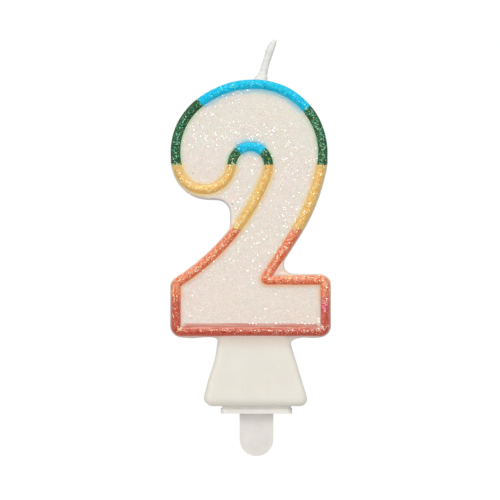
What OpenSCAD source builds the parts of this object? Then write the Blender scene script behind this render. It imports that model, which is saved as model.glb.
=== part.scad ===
// Number birthday candle: a cast wax numeral 2 with a raised glitter bead round its
// outline, a wick, and a foot that holds a flat pick which slides down into the cake.
// Origin: the middle of the flange's underside, which rests on the cake. +Z is up and
// the decorated face looks along -Y.

/* [Numeral] */
// Across position of the left wall's bead
wall_left_x = -21.6; // [-22:0.1:-21]
// Across position of the right wall's bead
wall_right_x = 18.4; // [18:0.1:20]
// Height of the base rail's bead above the cake
rail_z = 22.2; // [22:0.1:23]
// Height of the shelf's bead above the cake
shelf_z = 35.9; // [35:0.1:37]
// Straight length of the left wall's bead
left_wall = 10.4; // [10:0.1:11]
// Bend radius of the bead at the corners of the base
corner_r = 1.4; // [1.4:0.1:2]
// Bend radius of the bead at the tip of the notch
notch_r = 0.4; // [0.3:0.1:0.6]
// Radius of the long sweep up the neck
neck_r = 60; // [59:0.5:61]
// Radius at the top of the neck, where it turns into the arch
neck_top_r = 8.5; // [8:0.1:9]
// Radius of the arch between neck and hook
arch_r = 4.9; // [4.5:0.1:5.2]
// Radius of the hook
hook_r = 7.3; // [7:0.1:7.6]
// Radius of the left shoulder
left_shoulder_r = 16.5; // [16:0.1:17]
// Radius of the crown
crown_r = 23.2; // [22:0.1:24]
// Radius of the right shoulder
right_shoulder_r = 18.3; // [18:0.1:19]
// Radius of the back, down to the stem
back_r = 51; // [50:0.5:52]

/* [Wax] */
// Thickness of the numeral
numeral_t = 10; // [9:0.5:12]
// Wax outside the bead, seen from the front
margin = 0.3; // [0.25:0.05:0.8]
// Step in the wax edge round the front face
edge_step = 0.2; // [0.1:0.05:0.3]
// Depth of that step
edge_depth = 0.8; // [0.4:0.1:1.2]
// Radius of the wax fillet above the shelf
notch_fillet_r = 2.6; // [1.2:0.1:3]
// Radius of the wax fillet in the bay between hook and neck
web_fillet_r = 3.8; // [2.5:0.1:4]
// Across position of the upright edge of the wax in that bay
web_x = -7.1; // [-7.5:0.1:-6.8]
// How far the wax hangs below the centreline of the hook's bead
web_drop = 2.6; // [2.2:0.1:2.8]
// How far the lower edge of the wax falls from there to the upright edge
web_fall = 0.5; // [0:0.1:0.8]
// Thickness of the glitter lacquer on the front
glaze_t = 0.25; // [0.2:0.05:0.4]

/* [Bead] */
// Width of the bead
bead_w = 2.7; // [2.4:0.1:2.8]
// Height of the bead above the wax
bead_h = 1.1; // [0.9:0.1:1.3]
// Shape of the bead's crest, from a roof at 1 to a round at 2
crest_shape = 1.6; // [1.3:0.1:2]
// Height where orange turns to red
red_z = 31; // [29:0.5:33]
// Height where yellow turns to orange
orange_z = 49.5; // [47:0.5:52]
// Height where green turns to yellow
yellow_z = 66.9; // [66:0.1:68]

/* [Wick] */
// Across position of the wick
wick_x = 1.6; // [0.5:0.1:2]
// Diameter of the cotton braid
wick_d = 1.1; // [0.9:0.1:1.3]
// Diameter of the braid with its coat of wax
coat_d = 2; // [1.6:0.1:2.4]
// How far the braid reaches above the crown
wick_free = 10.6; // [8:0.1:12]

/* [Foot] */
// Width of the foot at the flange
foot_w = 27.8; // [26:0.1:30]
// Width of the foot under the numeral
foot_top_w = 18; // [17:0.1:22]
// Depth of the foot at the flange
foot_d = 12.5; // [11:0.5:14]
// Depth of the foot under the numeral
foot_top_d = 9.4; // [8.5:0.1:9.8]
// How far left of the pick the foot's base stands
foot_shift = 0.3; // [0:0.1:0.5]
// How far left of the pick the foot's top stands
foot_top_shift = 0.9; // [0:0.1:1.2]

/* [Pick] */
// Width of the flange
flange_w = 19.2; // [18:0.2:22]
// Depth of the flange
flange_d = 8; // [7:0.5:10]
// Thickness of the flange
flange_t = 2; // [1.6:0.1:2.4]
// Width of the blade
blade_w = 9.1; // [8:0.1:9.5]
// Thickness of the blade
blade_t = 1.8; // [1.4:0.1:2]
// Length of blade below the flange when it is pushed home
blade_out = 11.6; // [10:0.1:13]
// How far the blade pulls out
blade_travel = 12; // [10:0.5:12]

/* [Hidden] */
$fn = 48;

wax_colour = "#eae2d8";
glaze_colour = "#f4ede4";
coat_colour = "#e6e3dc";
braid_colour = "#d9d6cc";
plastic_colour = "#f2f1ee";
blade_colour = "#eceae6";
blue = "#0fb4de";
green = "#1c5434";
yellow = "#e4b76c";
orange = "#e27d53";
red = "#b64d3c";

front = numeral_t / 2;
bead_half = bead_w / 2;

// A track is walked one stretch at a time. [length, 0] is a straight and [radius, turn]
// an arc, with a left turn positive. A pose is [across, up, heading], heading 90 is up.
function after(p, s) = s[1] == 0
    ? [p[0] + s[0] * cos(p[2]), p[1] + s[0] * sin(p[2]), p[2]]
    : let (side = sign(s[1]), h = p[2])
      [p[0] + side * s[0] * (sin(h + s[1]) - sin(h)),
       p[1] - side * s[0] * (cos(h + s[1]) - cos(h)),
       h + s[1]];
function poses(track, start) =
    [for (i = 0, p = start; i <= len(track); p = i < len(track) ? after(p, track[i]) : p, i = i + 1)
        p];
function last(list) = list[len(list) - 1];
// How much of a stretch there is, as a length or a turn, and the pose that far along it
function amount(s) = s[1] == 0 ? s[0] : s[1];
function along(p, s, much) = much == 0 ? p : after(p, s[1] == 0 ? [much, 0] : [s[0], much]);
// How far along a stretch its height reaches z
function reach(p, s, z) = s[1] == 0
    ? (z - p[1]) / sin(p[2])
    : let (h = acos(cos(p[2]) - sign(s[1]) * (z - p[1]) / s[0]))
      (sin(p[2]) > 0 ? h : -h) - p[2];
// Steps that draw so much of a stretch smoothly
function steps(s, much) = s[1] == 0 ? 1 : ceil(abs(much) * (s[0] + 9) / 110);

// The bead's centreline as far as the end of the back, from the foot of the left wall
sweep = [
    [left_wall, 0],
    [1.8, -56],
    [1.6, 0],
    [neck_r, 34],
    [neck_top_r, 22],
    [arch_r, 48],
    [arch_r, 82],
    [arch_r, 40],
    [1.5, 0],
    [hook_r, -152],
    [left_shoulder_r, -67],
    [crown_r, -3],
    [crown_r, -41],
    [right_shoulder_r, -47],
    [right_shoulder_r, -50],
    [back_r, -23]
];
// Places in that list where a colour begins or ends, named in the order of the walk
NECK = 3;
NECK_TOP = 4;
ARCH_RIGHT = 5;
ARCH_TOP = 6;
ARCH_LEFT = 7;
LEG = 8;
HOOK = 9;
SHOULDER_LEFT = 10;
SHOULDER_TOP = 11;
CROWN = 12;
CROWN_RIGHT = 13;
SHOULDER_RIGHT = 14;
BACK = 15;
WALL_RIGHT = 20;
WALL_LEFT = 24;
start = [wall_left_x, rail_z + corner_r, 90];
back_end = last(poses(sweep, start));
stem_turn = -back_end[2];
// The stem and the shelf run until they meet at the notch, and the walls close the loop
stem = (back_end[1] - shelf_z - notch_r * (1 - cos(stem_turn))) / sin(stem_turn);
notch_end = last(poses([[stem, 0], [notch_r, stem_turn]], back_end));
centreline = concat(sweep, [
    [stem, 0],
    [notch_r, stem_turn],
    [wall_right_x - corner_r - notch_end[0], 0],
    [corner_r, -90],
    [shelf_z - rail_z - 2 * corner_r, 0],
    [corner_r, -90],
    [wall_right_x - wall_left_x - 2 * corner_r, 0],
    [corner_r, -90]
]);
places = poses(centreline, start);
// The highest point of the wax
crown_z = places[CROWN][1] + crown_r * (1 - cos(places[CROWN][2])) + bead_half + margin;

wick_low_z = 24.5;
lean = 17;
curl = 8;
bend_r = 8;
curl_r = 12;
tip_l = 1.6;
braid_gap = 0.01;
// The braid stands upright in the wax, leans over above the crown and curls at its tip
wick_track = [
    [crown_z - wick_low_z, 0],
    [bend_r, -lean],
    [wick_free - bend_r * sin(lean) - curl_r * (sin(lean + curl) - sin(lean)) - tip_l, 0],
    [curl_r, -curl],
    [tip_l, 0]
];
wick_places = poses(wick_track, [wick_x, wick_low_z, 90]);

cap_t = 1;
sleeve_w = 12;
sleeve_d = 4.6;
// Clearance round the blade in the slot, and round its head in the sleeve
slot_gap = 0.15;
head_gap = 0.2;
// The shoulder that stops the head, and the head when the blade is pushed home, with
// some play above and below it
shoulder_z = 2.2;
head_w = 10.6;
head_h = 2.7;
head_play = 0.3;
head_z = shoulder_z + blade_travel + head_play;
socket_top = head_z + head_h + head_play;

// The loop as points, close enough together to look smooth
loop = [
    for (i = [0:len(centreline) - 1])
        let (s = centreline[i], n = steps(s, s[1]))
        for (k = [0:n - 1])
            let (p = along(places[i], s, amount(s) * k / n))
            [p[0], p[1]]
];

// Cross-section of the bead, a soft ridge, from one edge over its crest to the other
section_sides = 10;
crest_fullness = 0.7;
bead_section = [
    for (k = [0:section_sides])
        let (u = sin(180 * k / section_sides - 90))
        [-bead_half * u, bead_h * pow(max(0, 1 - pow(abs(u), crest_shape)), crest_fullness)]
];
wick_sides = 16;

// A point of the bead's section beside a pose. A level end lies in a horizontal plane,
// and on a bend tighter than the bead the inner points meet along its bisector.
function bead_point(q, c, level, s, from) =
    level ? [q[0] - c[0] / sin(q[2]), q[1], front + c[1]] :
    is_tight(s) && sign(s[1]) * c[0] > s[0] ?
        let (
            side = sign(s[1]),
            middle = from[2] + s[1] / 2,
            far = (side * c[0] - s[0]) / cos(s[1] / 2)
        )
        [from[0] - side * (s[0] * sin(from[2]) + far * sin(middle)),
         from[1] + side * (s[0] * cos(from[2]) + far * cos(middle)), front + c[1]] :
    [q[0] - c[0] * sin(q[2]), q[1] + c[0] * cos(q[2]), front + c[1]];

function is_tight(s) = s[1] != 0 && s[0] < bead_half;

// Rings along the loop, from one stretch to another. A height given for either end
// cuts the bead level there. A tight bend keeps both of its end rings.
function bead_rings(from, to, from_z, to_z) = [
    for (i = [from:to])
        let (
            s = centreline[i % len(centreline)],
            p = places[i % len(centreline)],
            after_tight = i > from && is_tight(centreline[(i - 1) % len(centreline)]),
            begin = i == from && from_z != undef ? reach(p, s, from_z) : 0,
            end = i == to && to_z != undef ? reach(p, s, to_z) : amount(s),
            n = steps(s, end - begin)
        )
        for (k = [after_tight ? 1 : 0:1:i == to || is_tight(s) ? n : n - 1])
            let (
                q = along(p, s, begin + (end - begin) * k / n),
                level = i == from && k == 0 && from_z != undef || i == to && k == n && to_z != undef
            )
            [for (c = bead_section) bead_point(q, c, level, s, p)]
];

// Rings round a round bar of radius r at one pose
function round_ring(q, r) = [
    for (k = [0:wick_sides - 1])
        let (a = 360 * k / wick_sides)
        [q[0] - r * cos(a) * sin(q[2]), q[1] + r * cos(a) * cos(q[2]), r * sin(a)]
];

// Rings along the wick from one of its stretches to the tip, where the bar narrows. A
// thin bar's tip ends sooner than the whole coat's.
function wick_rings(from, r) = [
    for (i = [from:len(wick_track) - 1])
        let (
            s = wick_track[i],
            n = s[1] == 0 ? 1 : 4,
            tip = i == len(wick_track) - 1,
            share = tip ? r / (coat_d / 2) : 1
        )
        for (k = [0:tip ? n : n - 1])
            round_ring(along(wick_places[i], s, amount(s) * share * k / n), tip && k == n ? r / 3 : r)
];

// Draws in the numeral's own plane, with the extrusion coming towards the front
module upright() {
    rotate([90, 0, 0]) children();
}

// Closed solid through a list of rings that have the same number of points
module sweep(rings) {
    n = len(rings[0]);
    flat = [for (ring = rings) each ring];
    quads = [
        for (i = [0:len(rings) - 2], k = [0:n - 1])
            let (a = i * n + k, b = i * n + (k + 1) % n)
            each [[a, a + n, b], [b, a + n, b + n]]
    ];
    // Triangles shrunk to a line, where rings share a point, are left out
    sides = [
        for (t = quads)
            if (norm(cross(flat[t[1]] - flat[t[0]], flat[t[2]] - flat[t[0]])) > 0.000001) t
    ];
    first = [for (k = [0:n - 1]) k];
    final = [for (k = [n - 1:-1:0]) (len(rings) - 1) * n + k];
    polyhedron(flat, concat([first], sides, [final]));
}

// The raised bead over part of the loop
module bead(from, to, from_z = undef, to_z = undef) {
    upright() sweep(bead_rings(from, to, from_z, to_z));
}

module loop_area() {
    polygon(loop);
}

// Rounds the inside corners of an outline
module fill_corners(r) {
    offset(r = -r) offset(r = r) children();
}

// Wax hangs a little below the hook, and fills the space between hook and neck: up into
// the arch, down to a falling edge, and out to an upright one
module web() {
    h = places[HOOK];
    hook_centre = [h[0] + hook_r * sin(h[2]), h[1] - hook_r * cos(h[2])];
    arch_centre = [places[ARCH_RIGHT][0] - arch_r, places[ARCH_RIGHT][1]];
    hang_shift = 1;
    left = hook_centre[0] + hang_shift;
    right = arch_centre[0] + arch_r;
    web_z = hook_centre[1] - hook_r - web_drop;
    falling = [
        [left, web_z],
        [right, web_z - web_fall],
        [right, arch_centre[1]],
        [left, arch_centre[1]]
    ];
    upright_low_z = 51.5;
    upright_w = 4;
    fill_corners(web_fillet_r) {
        translate([left, hook_centre[1]]) circle(r = hook_r + web_drop);
        polygon(falling);
        translate([web_x, upright_low_z]) square([upright_w, hook_r]);
    }
    translate(arch_centre) circle(r = arch_r);
}

// Outline of the casting, this far outside the bead's centreline
module casting_outline(out) {
    fill_corners(notch_fillet_r) {
        offset(r = out) loop_area();
        web();
    }
}

// The slab of the numeral, with the step round its front face
module numeral() {
    side = bead_half + margin;
    overlap = 0.01;
    upright() translate([0, 0, -front])
        linear_extrude(numeral_t - edge_depth) casting_outline(side);
    upright() translate([0, 0, front - edge_depth - overlap])
        linear_extrude(edge_depth + overlap) offset(r = -edge_step) casting_outline(side);
}

// The tapered foot with rounded corners, which runs up into the base of the numeral
module foot() {
    low_r = 2;
    high_r = 1.5;
    low = [foot_w / 2 - low_r, foot_d / 2 - low_r];
    high = [foot_top_w / 2 - high_r, foot_top_d / 2 - high_r];
    hull() {
        for (x = [-1, 1], y = [-1, 1]) {
            translate([x * low[0] - foot_shift, y * low[1], flange_t + low_r])
                sphere(low_r, $fn = 32);
            translate([x * high[0] - foot_top_shift, y * high[1], rail_z])
                sphere(high_r, $fn = 32);
        }
    }
}

module wax_casting() {
    color(wax_colour) difference() {
        union() {
            numeral();
            foot();
        }
        translate([wick_x, 0, wick_low_z]) cylinder(d = wick_d + 2 * braid_gap, h = crown_z);
        sleeve_body(socket_top + cap_t);
    }
}

// Thin clear lacquer that holds the glitter, on the wax face either side of the bead
module glitter_glaze() {
    gap = 0.1;
    least = 0.3;
    color(glaze_colour) upright() translate([0, 0, front]) linear_extrude(glaze_t)
        offset(r = least) offset(r = -least) difference() {
            offset(r = -edge_step - gap) casting_outline(bead_half + margin);
            difference() {
                offset(r = bead_half + gap) loop_area();
                offset(r = -bead_half - gap) loop_area();
            }
        }
}

module bead_blue_crown() {
    color(blue) bead(CROWN, CROWN_RIGHT);
}

module bead_blue_arch() {
    color(blue) bead(ARCH_TOP, ARCH_TOP);
}

module bead_green_left() {
    color(green) bead(SHOULDER_LEFT, SHOULDER_TOP, from_z = yellow_z);
}

module bead_green_right() {
    color(green) bead(SHOULDER_RIGHT, BACK, to_z = yellow_z);
}

module bead_green_arch_left() {
    color(green) bead(ARCH_LEFT, LEG, to_z = yellow_z);
}

module bead_green_arch_right() {
    color(green) bead(ARCH_RIGHT, ARCH_RIGHT);
}

module bead_yellow_hook() {
    color(yellow) bead(LEG, SHOULDER_LEFT, yellow_z, yellow_z);
}

module bead_yellow_neck() {
    color(yellow) bead(NECK, NECK_TOP, from_z = orange_z);
}

module bead_yellow_back() {
    color(yellow) bead(BACK, BACK, yellow_z, orange_z);
}

module bead_orange_neck() {
    color(orange) bead(0, NECK, red_z, orange_z);
}

module bead_orange_notch() {
    color(orange) bead(BACK, WALL_RIGHT, orange_z, red_z);
}

module bead_red_base() {
    color(red) bead(WALL_RIGHT, WALL_LEFT, red_z, red_z);
}

// Braided cotton wick, from inside the numeral to its pointed free end
module wick_core() {
    color(braid_colour) upright() sweep(wick_rings(0, wick_d / 2));
}

// Wax on the free end of the braid, open below and flared where it leaves the crown
module wick_coat() {
    outer = wick_rings(1, coat_d / 2);
    inner = wick_rings(1, wick_d / 2 + 2 * braid_gap);
    flare = round_ring(wick_places[1], 0.9 * coat_d);
    top = len(inner) - 1;
    inside = [for (i = [top:-1:0]) inner[i]];
    outside = [for (i = [1:top]) outer[i]];
    color(coat_colour) upright() sweep(concat(inside, [flare], outside));
}

// Flat block with rounded corners, centred, standing on its base
module rounded_block(w, d, h, r) {
    linear_extrude(h) {
        square([w - 2 * r, d], center = true);
        square([w, d - 2 * r], center = true);
        for (x = [-1, 1], y = [-1, 1])
            translate([x * (w / 2 - r), y * (d / 2 - r)]) circle(r);
    }
}

// Outside of the sleeve with fully rounded ends
module sleeve_body(top) {
    translate([0, 0, flange_t]) linear_extrude(top - flange_t) {
        square([sleeve_w - sleeve_d, sleeve_d], center = true);
        for (x = [-1, 1]) translate([x * (sleeve_w - sleeve_d) / 2, 0]) circle(sleeve_d / 2);
    }
}

// Plastic flange that rests on the cake, and the sleeve that guides the blade
module pick_socket() {
    lip_t = 1.2;
    lip_r = 1.6;
    step = 0.3;
    slot = [blade_w + 2 * slot_gap, blade_t + 2 * slot_gap];
    room = [head_w + 2 * head_gap, blade_t + 2 * head_gap];
    color(plastic_colour) difference() {
        union() {
            rounded_block(flange_w, flange_d, lip_t, lip_r);
            translate([0, 0, lip_t])
                rounded_block(flange_w - 2 * step, flange_d - 2 * step, flange_t - lip_t, lip_r - step);
            sleeve_body(socket_top);
        }
        translate([-slot[0] / 2, -slot[1] / 2, -shoulder_z]) cube([slot[0], slot[1], 3 * shoulder_z]);
        translate([-room[0] / 2, -room[1] / 2, shoulder_z]) cube([room[0], room[1], socket_top]);
    }
}

// Plug that closes the sleeve, so that wax can't run into it
module socket_cap() {
    color(plastic_colour) translate([0, 0, socket_top - flange_t]) sleeve_body(flange_t + cap_t);
}

// Flat blade with a round end, and a head that stops it at the sleeve's shoulder
module pick_blade() {
    tip_r = blade_w / 2;
    overlap = 1;
    color(blade_colour) upright() translate([0, 0, -blade_t / 2]) linear_extrude(blade_t) {
        translate([0, tip_r - blade_out]) circle(tip_r);
        translate([-tip_r, tip_r - blade_out]) square([blade_w, head_z + blade_out - tip_r + overlap]);
        translate([-head_w / 2, head_z]) square([head_w, head_h]);
    }
}

wax_casting();
glitter_glaze();
bead_blue_crown();
bead_blue_arch();
bead_green_left();
bead_green_right();
bead_green_arch_left();
bead_green_arch_right();
bead_yellow_hook();
bead_yellow_neck();
bead_yellow_back();
bead_orange_neck();
bead_orange_notch();
bead_red_base();
wick_core();
wick_coat();
pick_socket();
socket_cap();
pick_blade();
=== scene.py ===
"""Looks of the number birthday candle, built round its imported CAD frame.

The numeral and foot are one soft-edged wax body, the outline beads are swept along the
track that their CAD solids follow, and the glitter is thousands of small foil flakes.
Lengths are in millimetres until a mesh is made, and metres from there on.
"""

import math
import random

import bmesh
import bpy
import numpy as np
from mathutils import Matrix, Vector, noise
from mathutils.bvhtree import BVHTree
from mathutils.kdtree import KDTree


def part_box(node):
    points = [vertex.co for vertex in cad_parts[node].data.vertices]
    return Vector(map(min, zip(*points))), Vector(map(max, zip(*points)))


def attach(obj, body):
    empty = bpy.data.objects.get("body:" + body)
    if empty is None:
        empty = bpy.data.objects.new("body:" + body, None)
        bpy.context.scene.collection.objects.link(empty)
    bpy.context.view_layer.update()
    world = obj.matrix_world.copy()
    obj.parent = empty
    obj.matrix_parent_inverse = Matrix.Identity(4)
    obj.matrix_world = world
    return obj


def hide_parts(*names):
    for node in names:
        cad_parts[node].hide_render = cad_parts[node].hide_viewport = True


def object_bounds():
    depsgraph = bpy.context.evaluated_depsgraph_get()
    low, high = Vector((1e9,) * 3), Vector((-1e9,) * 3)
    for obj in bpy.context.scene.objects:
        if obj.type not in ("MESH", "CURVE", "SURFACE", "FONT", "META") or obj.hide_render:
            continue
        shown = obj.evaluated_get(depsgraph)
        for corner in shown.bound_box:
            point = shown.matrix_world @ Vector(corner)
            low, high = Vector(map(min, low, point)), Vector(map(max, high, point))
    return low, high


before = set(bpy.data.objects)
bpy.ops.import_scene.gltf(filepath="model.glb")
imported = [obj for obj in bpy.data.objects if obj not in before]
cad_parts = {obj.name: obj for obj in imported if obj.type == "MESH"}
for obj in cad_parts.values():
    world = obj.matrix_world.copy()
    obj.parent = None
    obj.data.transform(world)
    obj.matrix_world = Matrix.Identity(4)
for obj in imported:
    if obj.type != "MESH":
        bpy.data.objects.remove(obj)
cad_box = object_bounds()

MM = 0.001
rng = random.Random(2)

# Driving lengths of the CAD model, in mm
BEAD_HALF = 1.35
BEAD_HIGH = 1.1
CORNER = 1.4
NOTCH = 0.4
SHELF_Z = 35.9
YELLOW_Z = 66.9
ORANGE_Z = 49.5
RED_Z = 31.0
FOOT_TOP = 20.4
# How far neighbouring beads run into each other, so that no crease shows between them
LAP = 0.08
# How deep a bead's root sits in the wax
ROOT = 0.35
# Voxels in which the beads and the wax are drawn anew
BEAD_VOXEL = 0.16
WAX_VOXEL = 0.32
# Top of the pink band that is brushed out above the rail
BAND_TOP = 24.5
# Height from which the glitter on the field is denser and catches more light
SPARKLE_Z = 36


# ---------------------------------------------------------------- small helpers

def in_mm(corner):
    return np.array(corner) / MM


def srgb(red, green, blue):
    """Linear colour, with alpha, of an sRGB colour given as 0 to 255."""
    parts = [c / 255 for c in (red, green, blue)]
    return [c / 12.92 if c <= 0.04045 else ((c + 0.055) / 1.055) ** 2.4 for c in parts] + [1]


def bell(x):
    return np.exp(-np.square(x))


def step(low, high, x):
    """0 below low and 1 above high, with a smooth rise between. It falls if low is the larger."""
    t = np.clip((x - low) / (high - low), 0, 1)
    return t * t * (3 - 2 * t)


def soft_noise(points, size, seed):
    """Smooth noise of about -1 to 1 at points in mm, with features of that size."""
    shift = Vector((seed * 17.3, seed * 5.1, seed * 9.7))
    return np.array([noise.noise(Vector(p) / size + shift) for p in points])


def add_object(name, mesh):
    made = bpy.data.objects.new(name, mesh)
    bpy.context.scene.collection.objects.link(made)
    return made


def mesh_from(name, points, faces):
    """A mesh in metres from points in mm."""
    mesh = bpy.data.meshes.new(name)
    mesh.from_pydata([Vector(p) * MM for p in points], [], faces)
    return mesh


def swept(rings):
    """Points and faces of a closed solid through rings that have the same number of points."""
    n = len(rings[0])
    points = [p for ring in rings for p in ring]
    faces = [
        (i * n + k, i * n + (k + 1) % n, (i + 1) * n + (k + 1) % n, (i + 1) * n + k)
        for i in range(len(rings) - 1)
        for k in range(n)
    ]
    faces.append(tuple(range(n - 1, -1, -1)))
    faces.append(tuple(range((len(rings) - 1) * n, len(rings) * n)))
    return points, faces


def joined(name, meshes):
    work = bmesh.new()
    for mesh in meshes:
        work.from_mesh(mesh)
    bmesh.ops.recalc_face_normals(work, faces=work.faces)
    mesh = bpy.data.meshes.new(name)
    work.to_mesh(mesh)
    work.free()
    return mesh


def remeshed(name, mesh, voxel, passes):
    """An object whose surface is the outside of mesh, drawn anew in voxels and smoothed."""
    made = add_object(name, mesh)
    shell = made.modifiers.new("remesh", "REMESH")
    shell.mode = "VOXEL"
    shell.voxel_size = voxel * MM
    smooth = made.modifiers.new("smooth", "SMOOTH")
    smooth.factor = 0.5
    smooth.iterations = passes
    graph = bpy.context.evaluated_depsgraph_get()
    made.data = bpy.data.meshes.new_from_object(made.evaluated_get(graph), depsgraph=graph)
    made.modifiers.clear()
    made.data.name = name
    made.data.materials.clear()
    smooth_shaded(made.data)
    return made


def smooth_shaded(mesh):
    mesh.polygons.foreach_set("use_smooth", np.ones(len(mesh.polygons), bool))


def points_of(mesh):
    """Vertex places in mm and vertex normals, as arrays."""
    places = np.empty(len(mesh.vertices) * 3, np.float32)
    mesh.vertices.foreach_get("co", places)
    normals = np.empty(len(mesh.vertices) * 3, np.float32)
    mesh.vertex_normals.foreach_get("vector", normals)
    return places.reshape(-1, 3).astype(float) / MM, normals.reshape(-1, 3).astype(float)


def set_points(mesh, places):
    mesh.vertices.foreach_set("co", (places * MM).astype(np.float32).ravel())
    mesh.update()


def set_colours(mesh, name, values):
    made = mesh.attributes.new(name, "FLOAT_COLOR", "POINT")
    made.data.foreach_set("color", values.astype(np.float32).ravel())


# ---------------------------------------------------------------- the bead's track

def after(pose, stretch):
    """The pose (across, up, heading) at the end of a stretch: (length, 0) or (radius, turn)."""
    x, z, heading = pose
    size, turn = stretch
    if turn == 0:
        return (x + size * math.cos(heading), z + size * math.sin(heading), heading)
    side = math.copysign(size, turn)
    return (
        x + side * (math.sin(heading + turn) - math.sin(heading)),
        z - side * (math.cos(heading + turn) - math.cos(heading)),
        heading + turn,
    )


def part_way(pose, stretch, share):
    size, turn = stretch
    return after(pose, (size * share, 0) if turn == 0 else (size, turn * share)) if share else pose


red_low, red_high = (in_mm(c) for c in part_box("bead_red_base"))
# How far the front of the numeral is from its middle, and the middles of the straight beads
FRONT = -red_high[1]
WALL_LEFT_X = red_low[0] + BEAD_HALF
WALL_RIGHT_X = red_high[0] - BEAD_HALF
RAIL_Z = red_low[2] + BEAD_HALF

# The stretches of the track from the left wall up over the crown and down to the stem, as
# (length, 0) or (radius, turn in degrees)
SWEEP = [
    (10.4, 0), (1.8, -56), (1.6, 0), (60, 34), (8.5, 22), (4.9, 48), (4.9, 82), (4.9, 40),
    (1.5, 0), (7.3, -152), (16.5, -67), (23.2, -3), (23.2, -41), (18.3, -47), (18.3, -50),
    (51, -23),
]
# Places of the stretches in the track
(NECK, NECK_TOP, ARCH_RIGHT, ARCH_TOP, ARCH_LEFT, LEG, HOOK, SHOULDER_LEFT, SHOULDER_TOP,
 CROWN, CROWN_RIGHT, SHOULDER_RIGHT, BACK) = range(3, 16)
WALL_RIGHT, WALL_LEFT = 20, 24


def walk():
    """The closed centreline as [(pose, stretch)], with the turns in radians."""
    track = [(size, math.radians(turn)) for size, turn in SWEEP]
    start = (WALL_LEFT_X, RAIL_Z + CORNER, math.pi / 2)
    pose = start
    for stretch in track:
        pose = after(pose, stretch)
    turn = -pose[2]
    stem = (pose[1] - SHELF_Z - NOTCH * (1 - math.cos(turn))) / math.sin(turn)
    corner = (CORNER, -math.pi / 2)
    shelf_from = after(after(pose, (stem, 0)), (NOTCH, turn))
    track += [
        (stem, 0), (NOTCH, turn), (WALL_RIGHT_X - CORNER - shelf_from[0], 0), corner,
        (SHELF_Z - RAIL_Z - 2 * CORNER, 0), corner,
        (WALL_RIGHT_X - WALL_LEFT_X - 2 * CORNER, 0), corner,
    ]
    pose, found = start, []
    for stretch in track:
        found.append((pose, stretch))
        pose = after(pose, stretch)
    return found


TRACK = walk()


def bead_poses(first, last, from_z, to_z, spacing=0.3):
    """Poses along the track from one stretch to another. A height given for either end cuts it there."""
    found = []
    for i in range(first, last + 1):
        pose, stretch = TRACK[i % len(TRACK)]
        length = stretch[0] * (abs(stretch[1]) or 1)
        count = max(2, math.ceil(length / spacing))
        found += [part_way(pose, stretch, k / count) for k in range(count)]
    found.append(after(*TRACK[last % len(TRACK)]))
    if from_z is None:
        found.insert(0, after(found[0], (-LAP, 0)))
    else:
        rises = math.sin(found[0][2]) > 0
        while (found[2][1] < from_z) == rises:
            del found[0]
    if to_z is None:
        found.append(after(found[-1], (LAP, 0)))
    else:
        rises = math.sin(found[-1][2]) > 0
        while (found[-3][1] > to_z) == rises:
            del found[-1]
    return found


def ridge(u):
    """Height of the bead's section at u from -1 to 1 across it: a soft ridge."""
    return BEAD_HIGH * (1 - abs(u) ** 1.6) ** 0.7


# Places across the bead, closer together near its edges
SECTION = [math.sin(math.pi / 2 * k / 7) for k in range(-7, 8)]


def bead_ring(pose, cuts):
    """The section round one pose, with its root in the wax. Points past a cut slide back to it."""
    x, z, heading = pose
    wide = BEAD_HALF * (1 + 0.05 * noise.noise(Vector((x, z, 3)) / 5))
    high = 1 + 0.08 * noise.noise(Vector((x, z, 9)) / 4)
    row = [(-wide, -ROOT)] + [(u * wide, ridge(u) * high) for u in SECTION] + [(wide, -ROOT)]
    ring = []
    for across, up in row:
        px, pz = x - across * math.sin(heading), z + across * math.cos(heading)
        for height, end, way in cuts:
            if math.hypot(x - end[0], z - end[1]) < 3:
                upward = math.copysign(1, way * math.sin(heading))
                past = (pz - height) * upward - LAP
                if past > 0:
                    slide = past * upward / math.sin(heading)
                    px, pz = px - slide * math.cos(heading), pz - past * upward
        ring.append((px, -FRONT - up, pz))
    return ring


# Name, colour, first and last stretch, and the heights of level ends
BEADS = [
    ("blue_crown", "blue", CROWN, CROWN_RIGHT, None, None),
    ("blue_arch", "blue", ARCH_TOP, ARCH_TOP, None, None),
    ("green_left", "green", SHOULDER_LEFT, SHOULDER_TOP, YELLOW_Z, None),
    ("green_right", "green", SHOULDER_RIGHT, BACK, None, YELLOW_Z),
    ("green_arch_left", "green", ARCH_LEFT, LEG, None, YELLOW_Z),
    ("green_arch_right", "green", ARCH_RIGHT, ARCH_RIGHT, None, None),
    ("yellow_hook", "yellow", LEG, SHOULDER_LEFT, YELLOW_Z, YELLOW_Z),
    ("yellow_neck", "yellow", NECK, NECK_TOP, ORANGE_Z, None),
    ("yellow_back", "yellow", BACK, BACK, YELLOW_Z, ORANGE_Z),
    ("orange_neck", "orange", 0, NECK, RED_Z, ORANGE_Z),
    ("orange_notch", "orange", BACK, WALL_RIGHT, ORANGE_Z, RED_Z),
    ("red_base", "red", WALL_RIGHT, WALL_LEFT, RED_Z, RED_Z),
]

bead_objects = {}
line = []
for name, colour, first, last, from_z, to_z in BEADS:
    poses = bead_poses(first, last, from_z, to_z)
    line += [(*pose, colour) for pose in poses]
    cuts = [(from_z, poses[0], -1)] if from_z is not None else []
    cuts += [(to_z, poses[-1], 1)] if to_z is not None else []
    solid = joined(name, [mesh_from(name, *swept([bead_ring(pose, cuts) for pose in poses]))])
    bead_objects[name] = remeshed("glitter_bead_" + name, solid, BEAD_VOXEL, 2)

line_tree = KDTree(len(line))
for i, (x, z, *_) in enumerate(line):
    line_tree.insert((x, 0, z), i)
line_tree.balance()


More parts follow.
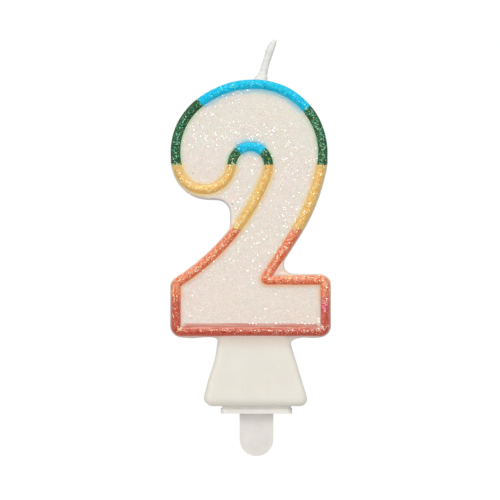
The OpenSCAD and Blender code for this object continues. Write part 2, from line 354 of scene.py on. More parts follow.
def beside_bead(places):
    """How far each place is outside the bead's centreline, seen from the front and negative
    inside it, the nearest bead's colour, and the way to its centreline."""
    away, colours, ways = [], [], []
    for px, _, pz in places:
        _, i, distance = line_tree.find((px, 0, pz))
        x, z, heading, colour = line[i]
        across = (pz - z) * math.cos(heading) - (px - x) * math.sin(heading)
        away.append(math.copysign(distance, across))
        colours.append(colour)
        ways.append(Vector((x - px, 0, z - pz)).normalized())
    return np.array(away), colours, np.array(ways)


# ---------------------------------------------------------------- the wax body

def fillet(corner_x, side, wide, tall, depth):
    """Wax in the corner between the foot's side and the numeral's base: a prism with a hollow face."""
    buried_across, buried_up, steps = 1.5, 0.6, 8
    inner_x = corner_x - side * buried_across
    outline = [(inner_x, FOOT_TOP + buried_up), (corner_x + side * wide, FOOT_TOP + buried_up)]
    for k in range(steps + 1):
        a = math.pi / 2 * k / steps
        outline.append((
            corner_x + side * wide * (1 - math.sin(a)),
            FOOT_TOP - tall * (1 - math.cos(a)),
        ))
    outline.append((inner_x, FOOT_TOP - tall))
    return swept([[(x, y, z) for x, z in outline] for y in (-depth / 2, depth / 2)])


FILLET_DEPTH = 9
wax_parts = [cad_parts[name].data for name in ("wax_casting", "glitter_glaze")]
wax_parts.append(mesh_from("fillet_right", *fillet(8.9, 1, 3.2, 2.3, FILLET_DEPTH)))
wax_parts.append(mesh_from("fillet_left", *fillet(-10.4, -1, 1.2, 1.0, FILLET_DEPTH)))
wax = remeshed("wax_body", joined("wax_body", wax_parts), WAX_VOXEL, 3)

places, normals = points_of(wax.data)
away, nearest, inward = beside_bead(places)
beside = np.abs(away)
x, y, z = places.T
# How far each place faces forward, is on the numeral, and is on the lacquered field
facing = step(0.5, 0.85, -normals[:, 1])
numeral = step(FOOT_TOP - 0.4, FOOT_TOP + 0.4, z)
field = facing * numeral * step(-4.6, -4.9, y)
# Bumps and pits stay away from the pick's sleeve, low in the middle of the foot
outer = (np.abs(x) > 3) | (z > 20)

# The melted lacquer creeps up the sides of the beads
places[:, 1] -= 0.24 * bell((beside - 1.3) / 0.5) * field
# The foot's left side is upright under the numeral before it flares
places[:, 0] += 0.5 * bell((z - 14.5) / 4) * step(-6, -9, x) * step(FOOT_TOP + 0.5, FOOT_TOP - 1, z)
# and its left corner at the flange is rounder than the right one
places[:, 0] += 0.5 * bell((z - 2.2) / 1.1) * step(-11.5, -13.6, x)
# Between the hook and the neck the wax goes on outside the bead. Elsewhere it ends close
# by, and closest round the upper half
bay = (z > 52) * (z < 77.5) * (x > -19) * (x < 3)
places += inward * (0.4 * step(66, 71, z) * step(0.9, 1.3, away) * step(2.6, 2.2, away) * ~bay)[:, None]
# The poured back sank a little as it set, more in the wide places
sunk = step(0.5, 6, -away) * step(0.6, 0.95, normals[:, 1]) * step(20, 24, z)
places[:, 1] -= 0.22 * sunk * (1 + 0.3 * soft_noise(places, 9, 6))
# Sags under the ends of the base
sag = 0.3 * bell((x + 17.5) / 2.6) + 0.22 * bell((x - 15) / 2.2)
places[:, 2] -= sag * bell((z - 20.4) / 0.7) * step(0, 0.6, -normals[:, 2])
# Soft unevenness of a poured and dipped surface
bumps = 0.035 * soft_noise(places, 5, 1) + 0.025 * soft_noise(places, 1.3, 2) * (0.4 + 0.6 * field)
bumps += 0.018 * soft_noise(places, 0.55, 3) * (0.2 + 0.8 * field)
# and small pits where bubbles broke at the back and the sides
bare = np.flatnonzero((normals[:, 1] > 0.5) | (np.abs(normals[:, 0]) > 0.8) & (y > -3))
PITS = 46
for pit in rng.choices(list(bare), k=PITS):
    distance = np.linalg.norm(places - places[pit], axis=1)
    bumps -= rng.uniform(0.06, 0.16) * bell(distance / rng.uniform(0.3, 0.6))
places += normals * (bumps * outer)[:, None]
set_points(wax.data, places)

# Beside each bead: its stain on the field, the lacquer on the margin outside it, how much of
# the wax that covers, and how far in mm the stain reaches
HALO = {
    "blue": srgb(120, 200, 220),
    "green": srgb(190, 212, 176),
    "yellow": srgb(242, 208, 144),
    "orange": srgb(244, 186, 142),
    "red": srgb(238, 192, 172),
}
MARGIN = {
    "blue": srgb(70, 178, 204),
    "green": srgb(62, 98, 74),
    "yellow": srgb(246, 226, 196),
    "orange": srgb(246, 214, 198),
    "red": srgb(236, 200, 192),
}
COVER = {"blue": 0.9, "green": 0.85, "yellow": 0.8, "orange": 0.8, "red": 0.75}
REACH = {"blue": 0.95, "green": 0.6, "yellow": 0.8, "orange": 0.65, "red": 0.5}
halo = np.array([HALO[c] for c in nearest])
reach = np.array([REACH[c] for c in nearest])
uneven = 1 + 0.35 * soft_noise(places, 2.2, 5)
share = bell(np.maximum(beside - 1.25, 0) / (reach * uneven)) * 0.85 * step(-4.2, -4.8, y)
# Pink lacquer is brushed out above the rail
streaks = 0.85 + 0.4 * soft_noise(places * (0.15, 0, 2.5), 1, 7)
smear = streaks * step(BAND_TOP, BAND_TOP - 0.4, z) * step(18.8, 17.2, np.abs(x + 1.4))
smear *= step(-4.7, -4.9, y) * numeral
halo = np.where((smear > 0)[:, None], np.array([srgb(208, 128, 112)]), halo)
share = np.where(smear > 0, smear, share)
# Outside the bead the lacquer covers the narrow margin and turns the corner
margin = (away > 0) * (beside < 2.4) * ~bay
halo[margin] = np.array([MARGIN[c] for c in nearest])[margin]
share = np.where(margin, step(-3.2, -4.4, y) * np.array([COVER[c] for c in nearest]), share)
halo[:, 3] = np.clip(share, 0, 1) * numeral
set_colours(wax.data, "halo", halo)

# Masks of painted shade: lilac grey on the numeral's side edges and undersides, and a painted shadow on the
# top of the foot just under the numeral
painted_edge_shade = numeral * (1 - facing) * step(-3.5, -4.5, y) * 0.4 + numeral * step(0.2, 0.8, -normals[:, 2]) * 0.5
painted_foot_shadow = step(16.5, 20.8, z) * (1 - numeral) * step(0, 0.5, -normals[:, 1])
set_colours(wax.data, "field_and_painted_shade", np.stack([field, np.clip(painted_edge_shade, 0, 1), painted_foot_shadow, np.ones(len(x))], 1))


# ---------------------------------------------------------------- glitter flakes

FLAKE_THICK = 0.035
# How far flakes lean from the surface, and the share on the beads that catches the light
LEAN = 0.3
BEAD_GLINTS = 0.07
FIELD_TRIES = 7500


def flake_mesh(name, flakes):
    """Thin six-sided plates, from [(centre, normal, radius, material slot)] in mm."""
    points, faces, slots = [], [], []
    for centre, normal, radius, slot in flakes:
        side = normal.orthogonal().normalized()
        other = normal.cross(side)
        turn = rng.uniform(0, math.pi)
        base = len(points)
        for level in (-0.5, 0.5):
            for k in range(6):
                a = turn + math.pi * k / 3
                spoke = radius * (math.cos(a) * side + math.sin(a) * other)
                points.append(centre + spoke + level * FLAKE_THICK * normal)
        faces.append([base + 5 - k for k in range(6)])
        faces.append([base + 6 + k for k in range(6)])
        faces += [[base + k, base + (k + 1) % 6, base + 6 + (k + 1) % 6, base + 6 + k] for k in range(6)]
        slots += [slot] * 8
    mesh = mesh_from(name, points, faces)
    mesh.polygons.foreach_set("material_index", slots)
    return mesh


# Half way between the view from the front and the key light: a flake turned this way glints
GLINT = Vector((0.17, -0.93, 0.34)).normalized()


def tilted(normal, amount, glints=0.0):
    """A normal near this one, or for that share of the flakes one that catches the light."""
    lean = Vector([rng.gauss(0, 1) for _ in range(3)])
    if rng.random() < glints:
        return (GLINT + lean * 0.05).normalized()
    return (normal + lean * amount).normalized()


def surface(objects):
    """A tree of the objects' faces, in mm."""
    points, faces = [], []
    for made in objects:
        start = len(points)
        places = points_of(made.data)[0]
        points += [Vector(p) for p in places]
        faces += [[start + i for i in face.vertices] for face in made.data.polygons]
    return BVHTree.FromPolygons(points, faces)


def from_front(tree, x, z):
    """(place, normal) of the surface seen from the front at (x, z), or None."""
    place, normal, _, _ = tree.ray_cast(Vector((x, -20, z)), Vector((0, 1, 0)))
    return (place, normal) if place is not None and normal.y < -0.3 else None


wax_tree = surface([wax])
bead_tree = surface(bead_objects.values())
SILVER, GOLD, MINT, ROSE, DARK = range(5)
glaze_low, glaze_high = (in_mm(c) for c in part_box("glitter_glaze"))
field_flakes = []
bead_flakes = []


def lay_field(x, z, radius, slot, glints=0.0):
    """Lays a flake on the wax at (x, z), if that is lacquered."""
    near = line_tree.find((x, 0, z))[2]
    found = from_front(wax_tree, x, z)
    if near < BEAD_HALF or found is None or found[0].y > -FRONT + 0.1 or z < FOOT_TOP + 0.4:
        return
    place, normal = found
    field_flakes.append((place + normal * 0.02, tilted(normal, LEAN, glints), radius, slot))


def lay_bead(x, z, radius, slot):
    found = from_front(bead_tree, x, z)
    if found:
        place, normal = found
        bead_flakes.append((place + normal * 0.01, tilted(normal, LEAN, BEAD_GLINTS), radius, slot))


for _ in range(FIELD_TRIES):
    x = rng.uniform(glaze_low[0], glaze_high[0])
    z = rng.uniform(glaze_low[2], glaze_high[2])
    crowd = 0.5 + 0.7 * noise.noise(Vector((x, 0, z)) / 6)
    slot = rng.choices((SILVER, GOLD, MINT, ROSE), (84, 8, 4, 4))[0]
    if z > BAND_TOP and rng.random() < crowd * (1 if z > SPARKLE_Z else 0.45):
        lay_field(x, z, rng.triangular(0.06, 0.22, 0.09), slot, 0.22 if z > SPARKLE_Z else 0.06)
# Two dark specks of dust
for x, z in ((-17.0, 64.5), (-6.5, 56.3)):
    lay_field(x, z, 0.2, DARK)
# Brighter clusters, as place, spread and number: in the hook, the crown and over the arch, in
# the base and its right corner, and in the neck
for cx, cz, spread, count in (
    (-17.5, 61.5, 0.8, 8), (-2.2, 75.5, 2.4, 16), (-1.5, 72.2, 1.6, 14), (-14.5, 28.5, 0.7, 7),
    (16.9, 24.8, 0.6, 26), (5, 68.7, 1.2, 8), (8.4, 50.5, 0.7, 6),
):
    for _ in range(count):
        slot = rng.choice((SILVER, MINT, GOLD))
        lay_field(rng.gauss(cx, spread), rng.gauss(cz, spread), rng.uniform(0.1, 0.2), slot, 0.5)
# and a line of it along the top of the brushed rail
for _ in range(34):
    lay_field(rng.uniform(-3, 16), rng.gauss(BAND_TOP - 0.15, 0.1), rng.uniform(0.08, 0.18), SILVER, 0.5)
flakes = add_object("glitter_flakes", flake_mesh("glitter_flakes", field_flakes))

# Foil tints: the bead colour each goes on, its share there and its own colour
TINTS = [
    ("blue", 5, srgb(90, 240, 244)), ("blue", 4, srgb(20, 205, 224)), ("blue", 1, srgb(160, 248, 252)),
    ("green", 5, srgb(70, 190, 150)), ("green", 4, srgb(40, 130, 80)), ("green", 3, srgb(170, 232, 200)),
    ("green", 2, srgb(110, 140, 70)),
    ("yellow", 4, srgb(255, 244, 180)), ("yellow", 3, srgb(250, 220, 120)),
    ("yellow", 3, srgb(255, 254, 232)),
    ("orange", 4, srgb(255, 216, 160)), ("orange", 2, srgb(246, 140, 104)),
    ("orange", 4, srgb(255, 240, 206)),
    ("red", 4, srgb(232, 146, 124)), ("red", 3, srgb(238, 200, 130)), ("red", 2, srgb(252, 216, 200)),
    ("white", 1, srgb(255, 252, 232)),
    ("magenta", 3, srgb(238, 64, 120)), ("magenta", 2, srgb(255, 186, 204)),
    ("blot", 1, srgb(222, 62, 44)),
]
# Flakes at each pose of the track, and their least and greatest radius
CROWDS = {"blue": 1.8, "green": 3.6, "yellow": 2.4, "orange": 3.0, "red": 2.0}
SIZES = {
    "blue": (0.07, 0.2), "green": (0.08, 0.24), "yellow": (0.07, 0.22), "orange": (0.07, 0.21),
    "red": (0.06, 0.18),
}


def tint_slot(colour):
    slots = [k for k, tint in enumerate(TINTS) if tint[0] == colour]
    return rng.choices(slots, [TINTS[k][1] for k in slots])[0]


for x, z, _, colour in line:
    crowd = CROWDS[colour] * (1 + 0.9 * noise.noise(Vector((x, 4, z)) / 7))
    for _ in range(int(crowd + rng.random())):
        slot = tint_slot(colour)
        least, most = SIZES[colour]
        spot = (rng.gauss(x, 0.6), rng.gauss(z + 0.2, 0.6))
        lay_bead(*spot, rng.triangular(least, most, least + 0.04), slot)
# Patches, as place, spread across and up, number and tint: magenta on the right wall, red
# blots on the shelf and the stem, white along the rail and at its right corner, and yellow on
# the shelf, the left wall and its corner
for cx, cz, wide, tall, count, tint in (
    (18.2, 29.3, 0.55, 1.1, 120, "magenta"), (8.6, 36.6, 1.0, 0.3, 26, "yellow"),
    (11.9, 35.5, 0.3, 0.4, 22, "blot"), (6.2, 40.7, 0.3, 0.3, 14, "blot"),
    (17.6, 23.2, 0.8, 0.5, 24, "white"), (8, 22.4, 5, 0.12, 34, "white"), (9, 23.5, 5, 0.12, 22, "white"),
    (-10, 22.4, 5, 0.12, 20, "white"), (-22.3, 30, 0.2, 4, 26, "yellow"),
    (-20.5, 22.6, 0.5, 0.5, 16, "yellow"),
):
    for _ in range(count):
        lay_bead(rng.gauss(cx, wide), rng.gauss(cz, tall), rng.uniform(0.08, 0.17), tint_slot(tint))
bead_glitter = add_object("bead_flakes", flake_mesh("bead_flakes", bead_flakes))


# ---------------------------------------------------------------- the wick

# Across position, height and width of the waxed wick, from inside the crown to its tip
WICK = np.array([
    (1.0, 88.8, 4.4), (1.15, 90.0, 3.7), (1.6, 91.1, 2.6), (2.0, 92.5, 2.05), (2.45, 94.1, 1.9),
    (2.97, 95.7, 1.9), (3.4, 97.3, 2.15), (4.05, 99.0, 2.0), (4.6, 100.0, 1.6), (4.9, 100.5, 1.1),
    (5, 100.75, 0.6),
])
COAT_RINGS = 60
STRANDS = 3
STRAND_RINGS = 220
# Radians that the strands turn in a mm, and how far the braid ends below the coat's tip
TWIST = 2.4
COVERED = 0.25


def wick_at(height):
    """(across, width) at a height, on a smooth line through the table's rows."""
    spread = [height + d for d in (-0.5, -0.25, 0, 0.25, 0.5)]
    return tuple(float(np.mean(np.interp(spread, WICK[:, 1], WICK[:, k]))) for k in (0, 2))


def tube_ring(centre, radius, sides, lumps=0.0):
    """A ring round the wick, tipped square to its lean, with lumps as a share of the radius."""
    x, y, z = centre
    ring = []
    for k in range(sides):
        a = 2 * math.pi * k / sides
        r = radius * (1 + lumps * noise.noise(Vector((math.cos(a), math.sin(a), z * 0.9))))
        ring.append((x + r * math.cos(a), y + r * math.sin(a), z - 0.25 * r * math.cos(a)))
    return ring


top_z = WICK[-1, 1]
coat_rings = []
for k in range(COAT_RINGS + 1):
    height = WICK[0, 1] + (top_z - WICK[0, 1]) * k / COAT_RINGS
    across, width = wick_at(height)
    braid = 0.03 * math.sin(height * 5.2)
    centre = (across + braid, 0.05 * math.cos(height * 2.6), height)
    coat_rings.append(tube_ring(centre, width / 2, 24, 0.05))
coat = add_object("wick_wax", mesh_from("wick_wax", *swept(coat_rings)))
smooth_shaded(coat.data)

core_low = in_mm(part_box("wick_core")[0])[2]
core_high = top_z - COVERED
core_points, core_faces = [], []
for strand in range(STRANDS):
    rings = []
    for k in range(STRAND_RINGS + 1):
        height = core_low + (core_high - core_low) * k / STRAND_RINGS
        across, width = wick_at(height)
        thin = 0.25 * min(1, width / 1.5)
        a = height * TWIST + 2 * math.pi * strand / STRANDS
        rings.append(tube_ring((across + thin * math.cos(a), thin * math.sin(a), height), thin, 8))
    points, faces = swept(rings)
    core_faces += [[len(core_points) + i for i in face] for face in faces]
    core_points += points
core = add_object("wick_braid", mesh_from("wick_braid", core_points, core_faces))
smooth_shaded(core.data)


# ---------------------------------------------------------------- materials

class Look:
    """A Principled material built node by node, with its patterns in object space."""

    def __init__(self, name, **values):
        self.material = bpy.data.materials.new(name)
        self.material.use_nodes = True
        self.nodes = self.material.node_tree.nodes
        self.links = self.material.node_tree.links
        self.shader = self.nodes["Principled BSDF"]
        coordinates = self.nodes.new("ShaderNodeTexCoord").outputs
        self.place, self.facing = coordinates["Object"], coordinates["Normal"]
        for key, value in values.items():
            self.shader.inputs[key.replace("_", " ")].default_value = value

    def put(self, value, socket):
        if isinstance(value, bpy.types.NodeSocket):
            self.links.new(value, socket)
        else:
            socket.default_value = value

    def to(self, name, value):
        self.put(value, self.shader.inputs[name])

    def cloud(self, size, detail=2, place=None):
        """Noise with features of a size in mm."""
        made = self.nodes.new("ShaderNodeTexNoise")
        made.inputs["Scale"].default_value = 1 / (size * MM)
        made.inputs["Detail"].default_value = detail
        self.links.new(place or self.place, made.inputs["Vector"])
        return made.outputs["Fac"]

    def cells(self, size):
        """(distance from the cell's centre, the cell's own random colour) for cells of a size in mm."""
        made = self.nodes.new("ShaderNodeTexVoronoi")
        made.inputs["Scale"].default_value = 1 / (size * MM)
        self.links.new(self.place, made.inputs["Vector"])
        return made.outputs["Distance"], made.outputs["Color"]

    def ramp(self, value, stops, kind="LINEAR"):
        made = self.nodes.new("ShaderNodeValToRGB")
        made.color_ramp.interpolation = kind
        while len(made.color_ramp.elements) < len(stops):
            made.color_ramp.elements.new(0.5)
        for element, (at, colour) in zip(made.color_ramp.elements, stops):
            element.position = at
            element.color = colour if isinstance(colour, (list, tuple)) else (colour,) * 3 + (1,)
        self.put(value, made.inputs["Fac"])
        return made.outputs["Color"]

    def mix(self, share, a, b):
        made = self.nodes.new("ShaderNodeMix")
        made.data_type = "RGBA"
        self.put(share, made.inputs[0])
        self.put(a, made.inputs[6])
        self.put(b, made.inputs[7])
        return made.outputs[2]

    def sums(self, operation, a, b=0.0):
        made = self.nodes.new("ShaderNodeMath")
        made.operation = operation
        self.put(a, made.inputs[0])
        self.put(b, made.inputs[1])
        return made.outputs[0]

    def between(self, value, low, high):
        """0 to 1 as a coordinate goes from low to high, in mm."""
        made = self.nodes.new("ShaderNodeMapRange")
        self.put(value, made.inputs["Value"])
        made.inputs["From Min"].default_value = low * MM
        made.inputs["From Max"].default_value = high * MM
        return made.outputs["Result"]

    def parts(self, colour, kind="Color"):
        made = self.nodes.new("ShaderNodeSeparate" + kind)
        self.put(colour, made.inputs[0])
        return made.outputs

    def stored(self, name):
        made = self.nodes.new("ShaderNodeAttribute")
        made.attribute_name = name
        return made.outputs["Color"], made.outputs["Alpha"]

    def bump(self, height, depth, strength=1.0):
        """Bump from a height of 0 to 1 that stands for a depth in mm."""
        made = self.nodes.new("ShaderNodeBump")
        made.inputs["Strength"].default_value = strength
        made.inputs["Distance"].default_value = depth * MM
        self.put(height, made.inputs["Height"])
        self.to("Normal", made.outputs["Normal"])


def grey(value):
    return (value, value, value, 1)


def wax_look():
    look = Look("cream_wax", Subsurface_Weight=0.5, Subsurface_Scale=0.002, Specular_IOR_Level=0.3)
    look.shader.inputs["Subsurface Radius"].default_value = (1, 0.7, 0.5)
    field_and_painted_shade = look.parts(look.stored("field_and_painted_shade")[0])
    halo_colour, halo_share = look.stored("halo")
    plain = look.ramp(look.cloud(7, 3), [(0.3, srgb(228, 224, 213)), (0.7, srgb(231, 228, 218))])
    patches = look.ramp(look.cloud(2.2, 4), [
        (0.38, srgb(228, 225, 211)), (0.5, srgb(232, 225, 215)), (0.62, srgb(235, 223, 216)),
    ])
    large = look.ramp(look.cloud(11, 2), [(0.35, srgb(231, 229, 213)), (0.65, srgb(236, 223, 215))])
    lacquer = look.mix(0.45, patches, large)
    # It is pinker towards the base
    lower = look.between(look.parts(look.place, "XYZ")[2], 85, 25)
    lacquer = look.mix(look.sums("MULTIPLY", lower, 0.4), lacquer, srgb(236, 214, 202))
    # Fine glitter set in the lacquer: a dot in some cells, each with its own tint. The white dots are the
    # glitter made lighter as painted glints, the grey ones painted shade on flakes turned from the light,
    # and the cream, mint and rose ones keep the glitter's own tints
    distance, own = look.cells(0.32)
    chance = look.parts(own)
    tint = look.ramp(chance[0], [
        (0.0, srgb(216, 204, 202)), (0.18, srgb(222, 213, 202)), (0.34, srgb(255, 253, 246)),
        (0.86, srgb(255, 244, 216)), (0.93, srgb(232, 246, 234)), (0.97, srgb(250, 226, 230)),
    ], "CONSTANT")
    dot = look.sums("LESS_THAN", distance, 0.42)
    dot = look.sums("MULTIPLY", dot, look.sums("GREATER_THAN", chance[1], 0.45))
    lacquer = look.mix(look.sums("MULTIPLY", dot, 0.5), lacquer, tint)
    colour = look.mix(field_and_painted_shade[0], plain, lacquer)
    # Painted shade: lilac grey on the numeral's side edges and undersides
    colour = look.mix(field_and_painted_shade[1], colour, srgb(206, 198, 206))
    # Painted shadow: brownish grey on the top of the foot, just under the numeral
    colour = look.mix(look.sums("MULTIPLY", field_and_painted_shade[2], 0.5), colour, srgb(216, 192, 176))
    colour = look.mix(halo_share, colour, halo_colour)
    # Small dark specks in the bare wax
    speck, own = look.cells(1.6)
    speck = look.sums("LESS_THAN", speck, 0.07)
    speck = look.sums("MULTIPLY", speck, look.sums("GREATER_THAN", look.parts(own)[0], 0.55))
    colour = look.mix(look.sums("MULTIPLY", speck, 0.3), colour, srgb(150, 128, 110))
    look.to("Base Color", colour)
    shine = look.ramp(look.cloud(1.1, 3), [(0.3, 0.36), (0.7, 0.55)])
    look.to("Roughness", look.mix(field_and_painted_shade[0], shine, look.mix(dot, grey(0.42), grey(0.18))))
    glints = look.sums("MULTIPLY", dot, look.sums("MULTIPLY", chance[2], field_and_painted_shade[0]))
    look.bump(look.sums("ADD", look.sums("MULTIPLY", look.cloud(0.5, 3), 0.7), glints), 0.04, 0.7)
    return look.material


def bead_look(name, *palettes, painted_top_light=0.16, fade=(0.3, srgb(236, 170, 140)), specular=0.3, grain=0.035):
    """Coloured lacquer full of glitter: a cloudy stain, with a painted highlight that makes it
    lighter where it faces up, thinner towards the wax, and with a tinted glitter dot in many of
    its cells, partly the glitter's own tints and partly painted glints and shade. A second
    palette takes over below the height where red begins."""
    look = Look(name, Specular_IOR_Level=specular, Subsurface_Weight=0.35, Subsurface_Scale=0.0008)
    up = look.parts(look.facing)[2]
    # Painted highlight: the stain is lighter where the bead faces up
    stain_and_painted_light = look.sums("ADD", look.cloud(0.8, 4), look.sums("MULTIPLY", up, painted_top_light))
    distance, own = look.cells(0.26)
    chance = look.parts(own)
    # Glitter dots: partly the glitter's own tints, partly painted glints and painted shade
    dot = look.sums("LESS_THAN", distance, 0.46)
    dot = look.sums("MULTIPLY", dot, look.sums("GREATER_THAN", chance[1], 0.4))
    layers = []
    for stains, sparks, share in palettes:
        stops = [(0.3 + 0.4 * k / (len(stains) - 1), stain) for k, stain in enumerate(stains)]
        tints = [(k / len(sparks), spark) for k, spark in enumerate(sparks)]
        tint = look.ramp(chance[0], tints, "CONSTANT")
        layers.append(look.mix(look.sums("MULTIPLY", dot, share), look.ramp(stain_and_painted_light, stops), tint))
    colour = layers[0]
    if len(layers) > 1:
        # Brush marks along the rail, real striations, drawn only on its upward face and lighter there as a
        # painted highlight
        stretched = look.nodes.new("ShaderNodeMapping")
        stretched.inputs["Scale"].default_value = (0.05, 0.05, 1)
        look.put(look.place, stretched.inputs["Vector"])
        marks = look.ramp(look.cloud(0.3, 1, stretched.outputs["Vector"]), [(0.45, 0.0), (0.6, 1.0)])
        painted_upper_light = look.ramp(up, [(0.2, 0.0), (0.5, 0.5)])
        layers[1] = look.mix(look.sums("MULTIPLY", marks, painted_upper_light), layers[1], srgb(238, 186, 170))
        wander = look.sums("MULTIPLY", look.cloud(1.2), 0.002)
        height = look.sums("ADD", look.parts(look.place, "XYZ")[2], wander)
        colour = look.mix(look.between(height, RED_Z - 0.4, RED_Z + 2.6), layers[1], layers[0])
    near_wax = look.between(look.parts(look.place, "XYZ")[1], -5.75, -5.45)
    colour = look.mix(look.sums("MULTIPLY", near_wax, fade[0]), colour, fade[1])
    look.to("Base Color", colour)
    look.to("Roughness", look.mix(dot, grey(0.5), grey(0.2)))
    rough = look.sums("ADD", look.cloud(0.35, 2), look.sums("MULTIPLY", dot, chance[2]))
    look.bump(rough, grain, 0.9)
    return look.material


def foil_look(name, colour):
    look = Look(name, Metallic=0.1, Roughness=0.18, Specular_IOR_Level=1.0)
    look.to("Base Color", colour)
    return look.material


def plastic_look(name, low, high):
    look = Look(name, Specular_IOR_Level=0.45, Subsurface_Weight=0.1, Subsurface_Scale=0.001)
    look.to("Base Color", look.ramp(look.cloud(4, 3), [(0.3, low), (0.7, high)]))
    look.to("Roughness", look.ramp(look.cloud(0.8, 4), [(0.3, 0.3), (0.7, 0.44)]))
    look.bump(look.cloud(0.35, 3), 0.02, 0.5)
    return look.material


def wick_look(name, low, high, size, rough):
    look = Look(name, Specular_IOR_Level=0.4)
    look.to("Base Color", look.ramp(look.cloud(size, 4), [(0.3, low), (0.7, high)]))
    look.to("Roughness", look.ramp(look.cloud(size * 0.6, 3), [(0.3, rough), (0.7, rough + 0.2)]))
    look.bump(look.cloud(size * 0.4, 3), 0.06, 0.8)
    return look.material


# For each bead, the colours of its stain from dark to light, the colours of its sparks, and
# how much of them shows. The sparks are glitter dots, partly the glitter's own tints and partly painted
# glints and painted shade
BLUE = (
    [srgb(0, 172, 216), srgb(2, 190, 230), srgb(14, 204, 240)],
    [srgb(50, 228, 234), srgb(0, 172, 196), srgb(120, 240, 240), srgb(0, 196, 236), srgb(0, 186, 206)],
    0.5,
)
GREEN = (
    [srgb(22, 54, 28), srgb(34, 78, 42), srgb(58, 100, 56)],
    [srgb(40, 140, 100), srgb(10, 50, 28), srgb(110, 196, 150), srgb(76, 100, 46), srgb(30, 112, 78),
     srgb(8, 42, 24)],
    0.75,
)
YELLOW = (
    [srgb(230, 172, 84), srgb(236, 184, 100), srgb(242, 202, 134)],
    [srgb(252, 228, 156), srgb(218, 168, 86), srgb(255, 242, 196), srgb(222, 176, 66)],
    0.5,
)
ORANGE = (
    [srgb(220, 90, 48), srgb(228, 110, 66), srgb(238, 172, 146)],
    [srgb(252, 190, 140), srgb(214, 92, 54), srgb(255, 220, 176), srgb(232, 86, 60)],
    0.5,
)
RED = (
    [srgb(182, 60, 44), srgb(194, 76, 58), srgb(204, 102, 86)],
    [srgb(226, 122, 100), srgb(170, 54, 42), srgb(240, 180, 156), srgb(198, 68, 66)],
    0.45,
)
WARM = bead_look("bead_orange_to_red", ORANGE, RED)
LOOKS = {
    "blue": bead_look("bead_blue", BLUE, painted_top_light=0.06, fade=(0.25, srgb(90, 206, 230)), specular=0.12),
    "green": bead_look(
        "bead_green", GREEN, painted_top_light=0.06, fade=(0.2, srgb(90, 130, 96)), specular=0.25, grain=0.07,
    ),
    "yellow": bead_look("bead_yellow", YELLOW, fade=(0.4, srgb(242, 208, 142))),
    "orange": WARM,
    "red": WARM,
}
FOILS = [
    foil_look("foil_silver", srgb(255, 253, 248)), foil_look("foil_gold", srgb(255, 236, 184)),
    foil_look("foil_mint", srgb(214, 246, 224)), foil_look("foil_rose", srgb(252, 222, 226)),
    foil_look("foil_dark", srgb(120, 108, 100)),
]
WAX = wax_look()
PLASTIC = plastic_look("white_plastic", srgb(234, 231, 224), srgb(242, 239, 232))
BLADE = plastic_look("blade_plastic", srgb(226, 222, 216), srgb(236, 232, 226))
COAT = wick_look("wick_wax", srgb(222, 221, 217), srgb(236, 235, 231), 0.9, 0.45)
BRAID = wick_look("wick_cotton", srgb(224, 221, 214), srgb(240, 238, 232), 0.25, 0.7)

wax.data.materials.append(WAX)
for foil in FOILS:
    flakes.data.materials.append(foil)
for k, (name, _, colour) in enumerate(TINTS):
    bead_glitter.data.materials.append(foil_look(f"foil_{name}_{k}", colour))
coat.data.materials.append(COAT)
core.data.materials.append(BRAID)

for name in ("pick_socket", "socket_cap", "pick_blade"):
    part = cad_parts[name]
    part.data.materials.clear()
    part.data.materials.append(BLADE if name == "pick_blade" else PLASTIC)
    round_edges = part.modifiers.new("edges", "BEVEL")
    round_edges.width = 0.15 * MM
    round_edges.segments = 3
    round_edges.limit_method = "ANGLE"


# ---------------------------------------------------------------- bodies, and the CAD parts the new pieces stand in for

for name, colour, *_ in BEADS:
    made = bead_objects[name]
    made.data.materials.append(LOOKS[colour])
    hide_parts("bead_" + name)
    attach(made, "candle")
for made, node, slot in (
    (wax, "wax_casting", "cream_wax"),
    (flakes, "glitter_glaze", "glitter_lacquer"),
    (core, "wick_core", "wick_cotton"),
    (coat, "wick_coat", "wick_wax"),
):
    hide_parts(node)
    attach(made, "candle")
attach(bead_glitter, "candle")


# ---------------------------------------------------------------- floor, light, camera

def seen_only(nodes, links, unseen, shown):
    """A strength that only the camera's own rays see, so that a white surround doesn't flood the object."""
    made = nodes.new("ShaderNodeMapRange")
    links.new(nodes.new("ShaderNodeLightPath").outputs["Is Camera Ray"], made.inputs["Value"])
    made.inputs["To Min"].default_value = unseen
    made.inputs["To Max"].default_value = shown
    return made.outputs["Result"]


FLOOR_R = 200
FLOOR_SIDES = 96
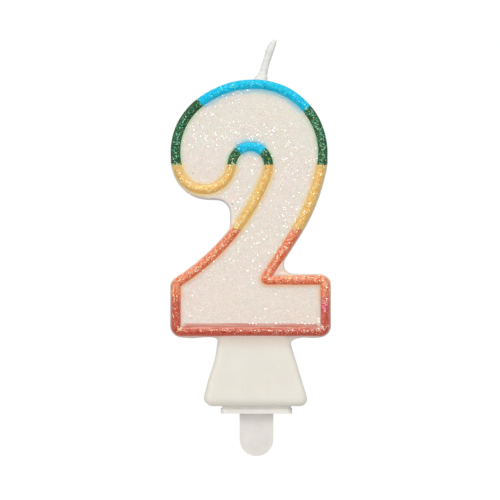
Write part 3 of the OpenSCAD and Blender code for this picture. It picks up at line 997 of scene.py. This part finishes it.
# Room under the blade, so that it clears the floor when it is pulled out
CLEARANCE = 13.5
floor_z = in_mm(cad_box[0])[2] - CLEARANCE
turns = [2 * math.pi * k / FLOOR_SIDES for k in range(FLOOR_SIDES)]
disc = [(FLOOR_R * math.cos(a), FLOOR_R * math.sin(a), floor_z) for a in turns]
floor = add_object("floor", mesh_from("floor", disc, [range(FLOOR_SIDES)]))
floor_look = Look("floor", Base_Color=grey(0.7), Roughness=0.9, Specular_IOR_Level=0.0)
floor_look.shader.inputs["Emission Color"].default_value = grey(1)
floor_look.to("Emission Strength", seen_only(floor_look.nodes, floor_look.links, 0.0, 0.75))
floor.data.materials.append(floor_look.material)

# The middle of the view, in metres as all that follows
AIM = Vector((-1.755, 0, 44.0)) * MM


def softbox(name, place, size, power):
    light = bpy.data.lights.new(name, "AREA")
    light.shape = "DISK"
    light.size = size
    light.energy = power
    made = add_object(name, light)
    made.location = place
    made.rotation_euler = (AIM - Vector(place)).to_track_quat("-Z", "Y").to_euler()


softbox("key", (0.3, -0.7, 0.6), 0.5, 3.4)
softbox("top", (0.05, -0.25, 0.9), 0.4, 1.8)
softbox("fill", (-0.7, -0.8, 0.15), 0.7, 3.2)
softbox("back", (-0.3, 0.9, 0.5), 0.6, 2.5)

world = bpy.data.worlds.new("studio")
bpy.context.scene.world = world
world.use_nodes = True
nodes, links = world.node_tree.nodes, world.node_tree.links
links.new(seen_only(nodes, links, 0.42, 1.02), nodes["Background"].inputs["Strength"])
nodes["Background"].inputs["Color"].default_value = (1, 1, 1, 1)

# Square on from the front, with a view as wide as the photo's
CAMERA_AWAY = 0.9
VIEW_WIDE = 0.135
camera = bpy.data.cameras.new("camera")
camera.lens = camera.sensor_width * CAMERA_AWAY / VIEW_WIDE
camera.clip_start, camera.clip_end = 0.01, 10
eye = add_object("camera", camera)
eye.location = AIM - Vector((0, CAMERA_AWAY, 0))
eye.rotation_euler = (math.pi / 2, 0, 0)
bpy.context.scene.camera = eye
bpy.context.scene.view_settings.view_transform = "Standard"
